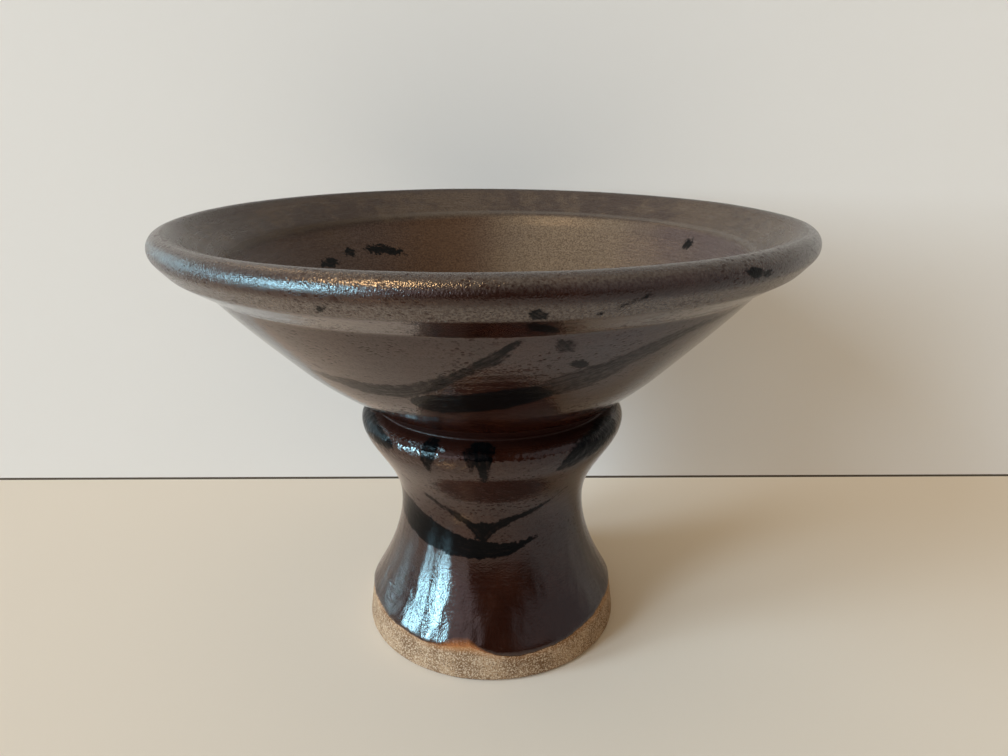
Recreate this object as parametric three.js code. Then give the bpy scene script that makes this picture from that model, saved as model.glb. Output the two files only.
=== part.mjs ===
// A pedestal dish in stoneware: a wide flanged bowl on a waisted, hollow pedestal.
// Bowl and pedestal are thrown apart, joined with slip at a flat seat, and then glazed.
// Millimetres, +Z up. The origin is the centre of the foot ring, on the surface it stands on.

import * as THREE from 'three';

// Overall sizes, over the glaze
const HEIGHT = 144;
const RIM_DIAMETER = 200;
const LIP_THICKNESS = 8;

// Bowl: sizes of the fired clay
const BOWL_WALL = 6.7;
const BOWL_FLOOR = 6.5;
const BOWL_BELLY = 1.9;
const FLOOR_FILLET = 10;
const FLANGE_WIDTH = 14.2;
const FLANGE_DROP = 15.6;
const EDGE_WIDTH = 4.7;
const EDGE_DROP = 9.8;
const LEDGE_WIDTH = 20.8;
const LEDGE_DROP = 12.8;
const LEDGE_STEP = 2.4;
const LEDGE_HEIGHT = 3.5;

// Pedestal: sizes of the fired clay
const SEAT_HEIGHT = 82;
const SEAT_WIDTH = 8;
const GROOVE_DIAMETER = 74;
const COLLAR_DIAMETER = 86.6;
const COLLAR_DROP = 5.5;
const WAIST_DIAMETER = 62.8;
const WAIST_HEIGHT = 47.5;
const PEDESTAL_WALL = 6.5;
const FOOT_DIAMETER = 90;
const FOOT_RING_WIDTH = 9;
const FOOT_CHAMFER = 1;
const BARE_BAND_HEIGHT = 10.4;
const BARE_BAND_TAPER = 1.2;

// Joining slip and glaze
const SLIP_THICKNESS = 0.8;
const GLAZE_THICKNESS = 0.7;
const GROOVE_POOL = 2.4;

// Roundness of the thrown curves: the straight run at each end, as a share of the curve's height
const EASE_ABOVE_BAND = 0.05;
const EASE_BELOW_WAIST = 0.52;
const EASE_ABOVE_WAIST = 0.48;
const EASE_BELOW_COLLAR = 0.28;
const EASE_INSIDE = 0.4;

// Directions on the lip's bead, measured from straight out
const LIP_UNDERSIDE = -Math.PI / 4;
const LIP_CREST = Math.PI / 2;
const LIP_INSIDE = (Math.PI * 2) / 3;

// Fineness of the facets
const TURN_STEPS = 48;
const CURVE_STEPS = 6;
const COLLAR_STEPS = 4;
const LIP_STEPS = 6;
const LIP_INSIDE_STEPS = 2;
const FILLET_STEPS = 4;

// Places worked out from the sizes above
const rimRadius = RIM_DIAMETER / 2;
const grooveRadius = GROOVE_DIAMETER / 2;
const collarRadius = COLLAR_DIAMETER / 2;
const waistRadius = WAIST_DIAMETER / 2;
const footRadius = FOOT_DIAMETER / 2;
const seatInnerRadius = grooveRadius - SEAT_WIDTH;
const poolRadius = grooveRadius + GROOVE_POOL;
const collarHeight = SEAT_HEIGHT - COLLAR_DROP;
const bowlBase = SEAT_HEIGHT + SLIP_THICKNESS;
const jointHeight = SEAT_HEIGHT + SLIP_THICKNESS / 2;
const floorHeight = bowlBase + BOWL_FLOOR;

const stoneware = new THREE.MeshStandardMaterial({ color: 0xb59878, roughness: 0.92, metalness: 0 });
const slip = new THREE.MeshStandardMaterial({ color: 0x8d7156, roughness: 0.95, metalness: 0 });
const ironGlaze = new THREE.MeshStandardMaterial({ color: 0x4b3b33, roughness: 0.25, metalness: 0 });
const linerGlaze = new THREE.MeshStandardMaterial({ color: 0x57463a, roughness: 0.45, metalness: 0 });

// A point of an outline: its distance from the axis and its height.
function point(radius, height) {
  return new THREE.Vector2(radius, height);
}

// A thrown curve that leaves its lower end and reaches its upper end straight up.
function thrownCurve(lower, upper, lowerEase, upperEase) {
  const rise = upper.y - lower.y;
  const leave = point(lower.x, lower.y + lowerEase * rise);
  const reach = point(upper.x, upper.y - upperEase * rise);
  return new THREE.CubicBezierCurve(lower, leave, reach, upper).getPoints(CURVE_STEPS);
}

// An arc of an ellipse between two directions from its centre.
function arc(centre, halfWidth, halfHeight, from, to, steps) {
  return new THREE.EllipseCurve(centre.x, centre.y, halfWidth, halfHeight, from, to).getPoints(steps);
}

// An outline moved sideways by an even distance, to its right as it runs, with mitred corners.
function offset(outline, distance) {
  const sides = outline.slice(1).map((end, i) => {
    const along = end.clone().sub(outline[i]).normalize();
    return point(along.y, -along.x);
  });
  return outline.map((corner, i) => {
    const before = sides[Math.max(i - 1, 0)];
    const after = sides[Math.min(i, sides.length - 1)];
    const across = before.clone().add(after).normalize();
    return corner.clone().addScaledVector(across, distance / across.dot(before));
  });
}

// Outside of the bowl's clay, from the groove up to the crest of the lip.
// Above the cone the flange reaches out to the lower edge of the rim, which leans out to the lip.
function bowlOutside() {
  const edge = point(rimRadius - EDGE_WIDTH, HEIGHT - EDGE_DROP);
  return [...bowlCone(), edge, ...lipArc(LIP_UNDERSIDE, LIP_CREST, LIP_STEPS)];
}

// The long outer curve of the bowl, from the groove to the shoulder under the flange.
// It swells by the belly in the middle, so its control point stands out twice as far.
function bowlCone() {
  const base = point(grooveRadius, bowlBase);
  const shoulder = point(rimRadius - FLANGE_WIDTH, HEIGHT - FLANGE_DROP);
  const along = shoulder.clone().sub(base).normalize();
  const belly = base.clone().add(shoulder).multiplyScalar(0.5);
  belly.addScaledVector(point(along.y, -along.x), 2 * BOWL_BELLY);
  return new THREE.QuadraticBezierCurve(base, belly, shoulder).getPoints(CURVE_STEPS);
}

// A stretch of the rounded lip.
function lipArc(from, to, steps) {
  const centre = point(rimRadius - LIP_THICKNESS / 2, HEIGHT - LIP_THICKNESS / 2);
  const radius = LIP_THICKNESS / 2 - GLAZE_THICKNESS;
  return arc(centre, radius, radius, from, to, steps);
}

// Inside of the bowl's clay, from the crest of the lip down to the middle of the floor.
function bowlInside() {
  const wall = offset(bowlCone(), -BOWL_WALL).reverse();
  const ledgeFoot = point(rimRadius - LEDGE_WIDTH, HEIGHT - LEDGE_DROP);
  const ledgeTop = ledgeFoot.clone().add(point(LEDGE_STEP, LEDGE_HEIGHT));
  const lowest = wall[wall.length - 1];
  const towardsLedge = wall[wall.length - 2].clone().sub(lowest).normalize();
  const toFloor = (floorHeight - lowest.y) / towardsLedge.y;
  const corner = lowest.clone().addScaledVector(towardsLedge, toFloor);
  const filletTop = corner.clone().addScaledVector(towardsLedge, FLOOR_FILLET);
  const filletEnd = corner.clone().sub(point(FLOOR_FILLET, 0));
  const fillet = new THREE.QuadraticBezierCurve(filletTop, corner, filletEnd).getPoints(FILLET_STEPS);
  const belowLedge = wall.filter((p) => p.x < ledgeFoot.x && p.y < ledgeFoot.y);
  const above = belowLedge.filter((p) => p.y > filletTop.y);
  const lip = lipArc(LIP_CREST, LIP_INSIDE, LIP_INSIDE_STEPS);
  return [...lip, ledgeTop, ledgeFoot, ...above, ...fillet, point(0, floorHeight)];
}

// The bare band above the foot, from the chamfer up to the glaze line.
function bareBand() {
  return [
    point(footRadius, FOOT_CHAMFER),
    point(footRadius - BARE_BAND_TAPER, BARE_BAND_HEIGHT),
  ];
}

// Outside of the pedestal's clay under the glaze, from the glaze line up to the groove.
function pedestalOutside() {
  const glazeLine = bareBand()[1];
  const waist = point(waistRadius, WAIST_HEIGHT);
  const collar = point(collarRadius, collarHeight);
  const flare = thrownCurve(glazeLine, waist, EASE_ABOVE_BAND, EASE_BELOW_WAIST);
  const swell = thrownCurve(waist, collar, EASE_ABOVE_WAIST, EASE_BELOW_COLLAR);
  const centre = point(grooveRadius, collarHeight);
  const shoulder = arc(centre, collarRadius - grooveRadius, COLLAR_DROP, 0, Math.PI / 2, COLLAR_STEPS);
  return [...flare, ...swell.slice(1), ...shoulder.slice(1)];
}

// Inside of the hollow pedestal, from the seat down to the foot ring.
function pedestalInside() {
  const seat = point(seatInnerRadius, SEAT_HEIGHT);
  const waist = point(waistRadius - PEDESTAL_WALL, WAIST_HEIGHT);
  const foot = point(footRadius - FOOT_RING_WIDTH, FOOT_CHAMFER);
  const upper = thrownCurve(waist, seat, EASE_INSIDE, EASE_INSIDE);
  const lower = thrownCurve(foot, waist, EASE_INSIDE, EASE_INSIDE);
  return [...upper.reverse(), ...lower.reverse().slice(1)];
}

// A piece turned about the axis from a section that runs anticlockwise.
function turned(name, section, material) {
  const geometry = new THREE.LatheGeometry(section, TURN_STEPS);
  geometry.rotateX(Math.PI / 2);
  const mesh = new THREE.Mesh(geometry, material);
  mesh.name = name;
  return mesh;
}

// A piece turned from a section that stands clear of the axis and closes on itself.
function turnedRing(name, section, material) {
  return turned(name, [...section, section[0]], material);
}

function bowl() {
  const section = [point(0, bowlBase), ...bowlOutside(), ...bowlInside().slice(1)];
  return turned('bowl', section, stoneware);
}

function pedestal() {
  const footInner = footRadius - FOOT_RING_WIDTH;
  const section = [
    point(footInner + FOOT_CHAMFER, 0),
    point(footRadius - FOOT_CHAMFER, 0),
    bareBand()[0],
    ...pedestalOutside(),
    ...pedestalInside(),
  ];
  return turnedRing('pedestal', section, stoneware);
}

function joiningSlip() {
  const section = [
    point(seatInnerRadius, SEAT_HEIGHT),
    point(grooveRadius, SEAT_HEIGHT),
    point(grooveRadius, jointHeight),
    point(grooveRadius, bowlBase),
    point(seatInnerRadius, bowlBase),
  ];
  return turnedRing('joining_slip', section, slip);
}

// The glaze that was poured in and swilled round the inside of the bowl.
function linerCoat() {
  const clay = bowlInside();
  const surface = offset(clay, GLAZE_THICKNESS);
  return turned('liner_glaze', [...clay.reverse(), ...surface], linerGlaze);
}

// The outer glaze on the bowl, from the pool in the groove up to the crest of the lip.
function bowlCoat() {
  const clay = bowlOutside();
  const surface = offset(clay, GLAZE_THICKNESS);
  const section = [
    point(grooveRadius, jointHeight),
    point(poolRadius, jointHeight),
    ...surface.filter((p) => p.x > poolRadius && p.y > jointHeight),
    ...clay.reverse(),
  ];
  return turnedRing('bowl_glaze', section, ironGlaze);
}

// The outer glaze on the pedestal, from the glaze line up to the pool in the groove.
function pedestalCoat() {
  const clay = pedestalOutside();
  const surface = offset(clay, GLAZE_THICKNESS);
  const section = [
    ...surface.filter((p) => p.y < collarHeight || (p.x > poolRadius && p.y < jointHeight)),
    point(poolRadius, jointHeight),
    point(grooveRadius, jointHeight),
    ...clay.reverse(),
  ];
  return turnedRing('pedestal_glaze', section, ironGlaze);
}

const dish = new THREE.Group();
dish.add(bowl(), pedestal(), joiningSlip(), linerCoat(), bowlCoat(), pedestalCoat());

export default dish;
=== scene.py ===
"""A thrown stoneware dish on a waisted pedestal, dark iron glaze over a bare clay foot.

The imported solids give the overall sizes. Each of the six pieces is turned again here, finely, by one
Geometry Nodes tree that adds what the wheel leaves behind, and is dressed in clay, slip or glaze.
Sections are in millimetres, as a distance from the axis and a height. Objects are in metres.
"""

from __future__ import annotations

import logging
import math
from collections.abc import Callable
from dataclasses import dataclass
from enum import Enum
from typing import Any

import bpy
import numpy as np
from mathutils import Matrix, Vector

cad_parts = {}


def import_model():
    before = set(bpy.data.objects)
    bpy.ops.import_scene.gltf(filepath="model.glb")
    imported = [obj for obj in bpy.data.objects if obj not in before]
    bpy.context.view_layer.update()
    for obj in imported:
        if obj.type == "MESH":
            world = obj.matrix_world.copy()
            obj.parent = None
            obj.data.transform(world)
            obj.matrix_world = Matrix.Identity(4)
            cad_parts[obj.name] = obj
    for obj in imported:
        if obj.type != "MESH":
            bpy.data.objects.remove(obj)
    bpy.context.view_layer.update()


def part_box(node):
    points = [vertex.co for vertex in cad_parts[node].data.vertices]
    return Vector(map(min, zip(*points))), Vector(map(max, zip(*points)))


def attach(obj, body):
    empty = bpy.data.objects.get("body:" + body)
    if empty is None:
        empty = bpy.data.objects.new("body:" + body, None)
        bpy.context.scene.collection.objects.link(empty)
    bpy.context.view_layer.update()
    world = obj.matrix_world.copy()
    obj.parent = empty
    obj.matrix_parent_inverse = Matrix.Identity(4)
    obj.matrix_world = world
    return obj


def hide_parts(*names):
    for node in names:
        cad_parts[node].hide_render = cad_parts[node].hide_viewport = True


LOG = logging.getLogger("pedestal_dish")

MM = 0.001
TINY = 1e-9
BODY = "root"

Array = np.ndarray
Colour = tuple[float, float, float]
Span = tuple[float, float]
Settings = dict[str, Any] | None
Inputs = dict[str | int, Any] | None


# Node graphs


def operator(operation: str, swapped: bool = False) -> Callable[[Value, Number], Value]:
    """Makes a method that adds a Math node.

    Args:
        operation: what the node does.
        swapped: whether the other number comes first.

    Returns:
        The method.
    """

    def method(self: Value, other: Number) -> Value:
        """Adds the node."""
        numbers = (other, self) if swapped else (self, other)
        return self.graph.math(operation, *numbers)

    return method


class Value:
    """A node's output. Arithmetic on it adds Math nodes to its graph."""

    __add__ = operator("ADD")
    __radd__ = operator("ADD", swapped=True)
    __sub__ = operator("SUBTRACT")
    __rsub__ = operator("SUBTRACT", swapped=True)
    __mul__ = operator("MULTIPLY")
    __rmul__ = operator("MULTIPLY", swapped=True)
    __truediv__ = operator("DIVIDE")
    most = operator("MAXIMUM")
    least = operator("MINIMUM")

    def __init__(self, graph: Graph, socket: bpy.types.NodeSocket) -> None:
        """Keeps the graph and the socket."""
        self.graph = graph
        self.socket = socket

    def __abs__(self) -> Value:
        """The size without the sign."""
        return self.graph.math("ABSOLUTE", self)

    def rise(self, low: Number, high: Number) -> Value:
        """Climbs smoothly from 0 at low to 1 at high."""
        inputs = {"Value": self, "From Min": low, "From Max": high}
        return self.graph.node("ShaderNodeMapRange", {"interpolation_type": "SMOOTHSTEP"}, inputs)

    def fall(self, low: Number, high: Number) -> Value:
        """Drops smoothly from 1 at low to 0 at high."""
        return 1.0 - self.rise(low, high)


Number = Value | float


class Graph:
    """A node tree with short ways to add nodes to it."""

    def __init__(self, tree: bpy.types.NodeTree) -> None:
        """Keeps the tree."""
        self.tree = tree

    @staticmethod
    def find(sockets: Any, key: str | int) -> bpy.types.NodeSocket:
        """Looks a socket up.

        Args:
            sockets: a node's inputs or outputs.
            key: an index, an identifier or a name.

        Returns:
            The socket, an enabled one where several share the name.
        """
        if isinstance(key, int):
            return sockets[key]
        for socket in sockets:
            if socket.identifier == key:
                return socket
        return next(s for s in sockets if s.name == key and s.enabled)

    def add(self, kind: str, settings: Settings = None, inputs: Inputs = None) -> bpy.types.Node:
        """Adds any node.

        Args:
            kind: the node's type.
            settings: its properties, set first.
            inputs: links or plain values for its sockets.

        Returns:
            The node.
        """
        made = self.tree.nodes.new(kind)
        for key, setting in (settings or {}).items():
            setattr(made, key, setting)
        for key, given in (inputs or {}).items():
            socket = self.find(made.inputs, key)
            if isinstance(given, Value):
                self.tree.links.new(given.socket, socket)
            elif socket.type == "RGBA" and len(given) == 3:
                socket.default_value = (*given, 1.0)
            else:
                socket.default_value = given
        return made

    def node(
        self, kind: str, settings: Settings = None, inputs: Inputs = None, output: str | int = 0
    ) -> Value:
        """Adds any node and takes one of its outputs."""
        made = self.add(kind, settings, inputs)
        return Value(self, self.find(made.outputs, output))

    def math(self, operation: str, *numbers: Number) -> Value:
        """Adds a Math node that works on the given numbers."""
        return self.node("ShaderNodeMath", {"operation": operation}, dict(enumerate(numbers)))

    def vector(self, operation: str, *parts: Any) -> Value:
        """Adds a Vector Math node that works on the given vectors."""
        return self.node("ShaderNodeVectorMath", {"operation": operation}, dict(enumerate(parts)))

    def scaled(self, vector: Value, factor: Number) -> Value:
        """Stretches a vector by one number."""
        inputs = {"Vector": vector, "Scale": factor}
        return self.node("ShaderNodeVectorMath", {"operation": "SCALE"}, inputs)

    def joined(self, x: Number, y: Number, z: Number) -> Value:
        """Makes a vector of three numbers."""
        return self.node("ShaderNodeCombineXYZ", None, {0: x, 1: y, 2: z})

    def parts(self, vector: Value) -> tuple[Value, Value, Value]:
        """Takes a vector apart.

        Args:
            vector: the vector.

        Returns:
            Its three numbers.
        """
        x = self.node("ShaderNodeSeparateXYZ", None, {0: vector})
        outputs = x.socket.node.outputs
        return x, Value(self, outputs[1]), Value(self, outputs[2])

    def blend(self, factor: Number, below: Any, above: Any) -> Value:
        """Lays one colour over another, as much of it as the factor says."""
        inputs = {"Factor_Float": factor, "A_Color": below, "B_Color": above}
        return self.node("ShaderNodeMix", {"data_type": "RGBA"}, inputs, "Result_Color")

    def _stretched(self, place: Value, grain: float | Colour) -> Value:
        """Stretches a place in metres so that a grain in millimetres becomes one unit."""
        sizes = grain if isinstance(grain, tuple) else (grain, grain, grain)
        return self.vector("MULTIPLY", place, tuple(1.0 / (MM * size) for size in sizes))

    def noise(self, place: Value, grain: float | Colour, detail: float = 2.0) -> Value:
        """Adds soft noise about 0.5, with a grain in millimetres for all axes or for each."""
        inputs = {"Vector": self._stretched(place, grain), "Scale": 1.0, "Detail": detail}
        return self.node("ShaderNodeTexNoise", None, inputs)

    def cells(self, place: Value, grain: float | Colour) -> Value:
        """Adds a scatter of cells and gives the distance from the middle of the nearest."""
        inputs = {"Vector": self._stretched(place, grain), "Scale": 1.0}
        return self.node("ShaderNodeTexVoronoi", None, inputs, "Distance")

    def attribute(self, name: str, output: str = "Fac") -> Value:
        """Reads a mesh attribute, as a number or a vector."""
        return self.node("ShaderNodeAttribute", {"attribute_name": name}, None, output)


# Outlines of the section


@dataclass(frozen=True)
class Spacing:
    """How far apart an outline's points stand in millimetres: at its ends, and past a reach from them."""

    fine: float
    coarse: float
    reach: float


UNSEEN = Spacing(2.5, 2.5, 1.0)
UNDER_GLAZE = Spacing(0.5, 2.5, 6.0)
UNDERSIDE = Spacing(1.0, 1.5, 4.0)
HOLLOW = Spacing(0.6, 1.3, 8.0)
BARE_CLAY = Spacing(0.36, 0.36, 1.0)
CURVE_STEPS = 48
SPONGE_STEP = 0.1
SPONGE_REACH = 4
GRADING_STEPS = 4000
RING_FADE = (0.3, 4.0)


def unit(vectors: Array) -> Array:
    """Gives each vector a length of one."""
    return vectors / np.maximum(np.linalg.norm(vectors, axis=-1, keepdims=True), TINY)


def bezier(*controls: Array, steps: int) -> Array:
    """Draws a Bezier curve.

    Args:
        controls: its control points.
        steps: how many chords it gets.

    Returns:
        The points, both ends included.
    """
    share = np.linspace(0.0, 1.0, steps + 1)[:, None]
    layer = [np.broadcast_to(np.asarray(c, float), (steps + 1, 2)) for c in controls]
    while len(layer) > 1:
        layer = [a + (b - a) * share for a, b in zip(layer, layer[1:])]
    return layer[0]


def thrown_curve(lower: Array, upper: Array, lower_ease: float, upper_ease: float) -> Array:
    """Draws a curve that leaves its lower end and reaches its upper end straight up.

    Args:
        lower: the lower end.
        upper: the upper end.
        lower_ease: the straight run at the lower end, as a share of the height.
        upper_ease: the straight run at the upper end.

    Returns:
        The points from the lower end to the upper.
    """
    rise = upper[1] - lower[1]
    leave = lower + (0.0, lower_ease * rise)
    reach = upper - (0.0, upper_ease * rise)
    return bezier(lower, leave, reach, upper, steps=CURVE_STEPS)


def arc(centre: Array, wide: float, high: float, start: float, end: float, steps: int = 18) -> Array:
    """Draws a stretch of an ellipse, of given half-widths, between two directions in degrees."""
    turn = np.radians(np.linspace(start, end, steps + 1))
    return np.asarray(centre) + np.stack([wide * np.cos(turn), high * np.sin(turn)], -1)


def chord_sides(outline: Array) -> Array:
    """Finds which way is to the right of each chord of an outline."""
    along = unit(np.diff(outline, axis=0))
    return np.stack([along[:, 1], -along[:, 0]], -1)


def rights(outline: Array) -> Array:
    """Finds which way is to the right at each point of an outline, the mean of the chords there."""
    sides = chord_sides(outline)
    return unit(np.concatenate([sides[:1], sides]) + np.concatenate([sides, sides[-1:]]))


def offset(outline: Array, distance: float | Array) -> Array:
    """Moves an outline to its right, with mitred corners.

    Args:
        outline: its points.
        distance: how far, in millimetres, for all or for each.

    Returns:
        The moved points.
    """
    sides = chord_sides(outline)
    across = rights(outline)
    before = np.concatenate([sides[:1], sides])
    mitre = np.sum(across * before, axis=1)
    return outline + across * (np.broadcast_to(distance, len(outline)) / mitre)[:, None]


def runs(outline: Array) -> Array:
    """Measures how far along an outline each of its points lies, in millimetres."""
    return np.concatenate([[0.0], np.cumsum(np.linalg.norm(np.diff(outline, axis=0), axis=1))])


def at_runs(outline: Array, places: Array) -> Array:
    """Takes the points of an outline at given runs along it."""
    run = runs(outline)
    return np.stack([np.interp(places, run, outline[:, axis]) for axis in (0, 1)], -1)


def softened(outline: Array, softness: float) -> Array:
    """Rounds an outline off as a wet sponge does, with its ends kept.

    Args:
        outline: its points.
        softness: the reach of the rounding in millimetres.

    Returns:
        A finely spaced outline.
    """
    length = runs(outline)[-1]
    fine = at_runs(outline, np.linspace(0.0, length, int(length / SPONGE_STEP) + 1))
    reach = int(SPONGE_REACH * softness / SPONGE_STEP)
    weights = np.exp(-0.5 * (np.arange(-reach, reach + 1) * SPONGE_STEP / softness) ** 2)
    weights /= weights.sum()
    head = 2 * fine[0] - fine[reach:0:-1]
    tail = 2 * fine[-1] - fine[-2 : -reach - 2 : -1]
    padded = np.concatenate([head, fine, tail])
    return np.stack([np.convolve(padded[:, axis], weights, "valid") for axis in (0, 1)], -1)


def graded(outline: Array, spacing: Spacing) -> Array:
    """Spaces an outline's points closely at its ends and wider between.

    Args:
        outline: its points.
        spacing: how far apart they stand.

    Returns:
        The newly spaced points.
    """
    places = np.linspace(0.0, runs(outline)[-1], GRADING_STEPS)
    from_end = np.minimum(places, places[-1] - places)
    share = np.clip(from_end / spacing.reach, 0.0, 1.0)
    gaps = spacing.fine + (spacing.coarse - spacing.fine) * share
    count = np.concatenate([[0.0], np.cumsum(np.diff(places) * 2.0 / (gaps[1:] + gaps[:-1]))])
    steps = max(2, round(count[-1]))
    return at_runs(outline, np.interp(np.linspace(0.0, count[-1], steps + 1), count, places))


def smooth_share(numbers: Array, low: float, high: float) -> Array:
    """Climbs smoothly from 0 at low to 1 at high, for each number."""
    share = np.clip((numbers - low) / (high - low), 0.0, 1.0)
    return share * share * (3.0 - 2.0 * share)


@dataclass(frozen=True)
class Stretch:
    """A stretch of a section, with how deep its throwing rings and its grit are on the wheel's scale."""

    outline: Array
    rings: float = 0.0
    grit: float = 0.0


@dataclass
class Section:
    """A closed section of a piece, anticlockwise, with how the wheel marks each point of it."""

    points: Array
    rings: Array
    grit: Array

    @classmethod
    def of(cls, *stretches: Stretch) -> Section:
        """Joins stretches of outline.

        Args:
            stretches: the stretches in order.

        Returns:
            The section. Rings fade out at the ends of each stretch, and its two end points have no
            grit, so that they still meet when it is turned.
        """
        rings, grit = [], []
        for stretch in stretches:
            run = runs(stretch.outline)
            fade = smooth_share(np.minimum(run, run[-1] - run), *RING_FADE)
            rings.append(stretch.rings * fade)
            grit.append(np.full(len(run), stretch.grit))
        points = np.concatenate([stretch.outline for stretch in stretches])
        rough = np.concatenate(grit)
        rough[[0, -1]] = 0.0
        return cls(points, np.concatenate(rings), rough)


# The potter's wheel


@dataclass(frozen=True)
class Wheel:
    """What throwing by hand does to a turned form, the same for every piece so that they stay nested."""

    ring_pitch: float = 3.4
    ring_depth: float = 0.02
    ring_patch: float = 20.0
    ring_contrast: float = 1.6
    grit_size: float = 0.75
    grit_depth: float = 0.16
    lean: float = 0.6
    lean_top: float = 80.0
    set_off: float = -1.7
    set_off_low: float = 82.0
    set_off_high: float = 104.0
    oval: float = 0.0022
    oval_turn: float = 0.7
    warp: float = 0.35
    warp_turn: float = 2.1
    warp_start: float = 30.0
    waver: float = 0.5
    waver_patch: float = 45.0
    tall: float = 144.0
    weld: float = 0.001
    seed: float = 7.0

    def tree(self) -> bpy.types.NodeTree:
        """Builds the tree that turns a section.

        Returns:
            The tree, whose inputs are the section, the number of turns and the sizes of this wheel.
        """
        tree = bpy.data.node_groups.new("thrown_form", "GeometryNodeTree")
        kinds = {"Section": "Geometry", "Turns": "Int", "Material": "Material"}
        kinds |= {name: "Float" for name in self.inputs()}
        for name, kind in kinds.items():
            tree.interface.new_socket(name, in_out="INPUT", socket_type="NodeSocket" + kind)
        tree.interface.new_socket("Form", in_out="OUTPUT", socket_type="NodeSocketGeometry")
        graph = Graph(tree)
        given = {name: graph.node("NodeGroupInput", None, None, name) for name in kinds}
        rows = graph.node("GeometryNodeAttributeDomainSize", None, {0: given["Section"]})
        grid_inputs = {"Size X": 1.0, "Size Y": 1.0}
        grid_inputs |= {"Vertices X": given["Turns"] + 1.0, "Vertices Y": rows}
        grid = graph.node("GeometryNodeMeshGrid", None, grid_inputs)
        place = self._turned(graph, given, rows)
        moved = graph.node("GeometryNodeSetPosition", None, {"Geometry": grid, "Position": place})
        closed = graph.node("GeometryNodeMergeByDistance", None, {0: moved, "Distance": self.weld * MM})
        smooth = graph.node("GeometryNodeSetShadeSmooth", None, {0: closed})
        real = graph.node("GeometryNodeRealizeInstances", None, {0: smooth})
        dressed_inputs = {"Geometry": real, "Material": given["Material"]}
        dressed = graph.node("GeometryNodeSetMaterial", None, dressed_inputs)
        graph.add("NodeGroupOutput", None, {0: dressed})
        return tree

    def inputs(self) -> dict[str, float]:
        """The sizes that the tree takes, in metres or plain numbers."""
        return {
            "Ring pitch": self.ring_pitch * MM,
            "Ring depth": self.ring_depth * MM,
            "Grit size": self.grit_size * MM,
            "Grit depth": self.grit_depth * MM,
            "Lean": self.lean * MM,
            "Set off": self.set_off * MM,
            "Oval": self.oval,
            "Warp": self.warp * MM,
            "Waver": self.waver * MM,
            "Tall": self.tall * MM,
            "Seed": self.seed,
        }

    @staticmethod
    def _sampled(graph: Graph, given: dict[str, Value], row: Value, name: str, kind: str) -> Value:
        """Reads an attribute of the section at a row of the grid.

        Args:
            graph: the tree's graph.
            given: the tree's inputs.
            row: the row.
            name: the attribute.
            kind: its data type.

        Returns:
            The attribute's value there.
        """
        named = {"data_type": kind}
        read = graph.node("GeometryNodeInputNamedAttribute", named, {"Name": name}, "Attribute")
        inputs = {"Geometry": given["Section"], "Value": read, "Index": row}
        return graph.node("GeometryNodeSampleIndex", named, inputs)

    def _turned(self, graph: Graph, given: dict[str, Value], rows: Value) -> Value:
        """Turns the section's rows about the axis and marks them.

        Args:
            graph: the tree's graph.
            given: the tree's inputs.
            rows: how many points the section has.

        Returns:
            Where each point of the grid goes.
        """
        across, along, _ = graph.parts(graph.node("GeometryNodeInputPosition"))
        row = graph.math("ROUND", (along + 0.5) * (rows - 1.0))
        turn = (across + 0.5) * (2.0 * math.pi)
        cosine = graph.math("COSINE", turn)
        sine = graph.math("SINE", turn)
        sampled = self._sampled(graph, given, row, "position", "FLOAT_VECTOR")
        radius, _, height = graph.parts(sampled)
        out, _, up = graph.parts(self._sampled(graph, given, row, "across", "FLOAT_VECTOR"))
        rings, grit, run = (
            self._sampled(graph, given, row, name, "FLOAT") for name in ("rings", "grit", "run")
        )
        plain = graph.joined(radius * cosine, radius * sine, height)
        spiral = graph.math("SINE", run / given["Ring pitch"] * (2.0 * math.pi) - turn)
        uneven = self._noise(graph, given, plain, self.ring_patch * MM) * self.ring_contrast
        depth = spiral * uneven * rings * given["Ring depth"]
        rough = self._noise(graph, given, plain, given["Grit size"]) - 0.5
        depth = depth + rough * grit * given["Grit depth"] * 2.0
        side = graph.joined(out * cosine, out * sine, up)
        east, north, level = graph.parts(graph.vector("ADD", plain, graph.scaled(side, depth)))
        worn = graph.joined(east, north, level.most(0.0))
        return self._wobbled(graph, given, worn, turn)

    @staticmethod
    def _noise(graph: Graph, given: dict[str, Value], place: Value, grain: Number) -> Value:
        """Adds seeded noise.

        Args:
            graph: the tree's graph.
            given: the tree's inputs.
            place: where it is read.
            grain: the size of its patches in metres.

        Returns:
            The noise, about 0.5 on average.
        """
        fine = graph.scaled(place, graph.math("DIVIDE", 1.0, grain))
        inputs = {"Vector": fine, "W": given["Seed"], "Scale": 1.0, "Detail": 2.0}
        return graph.node("ShaderNodeTexNoise", {"noise_dimensions": "4D"}, inputs)

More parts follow.
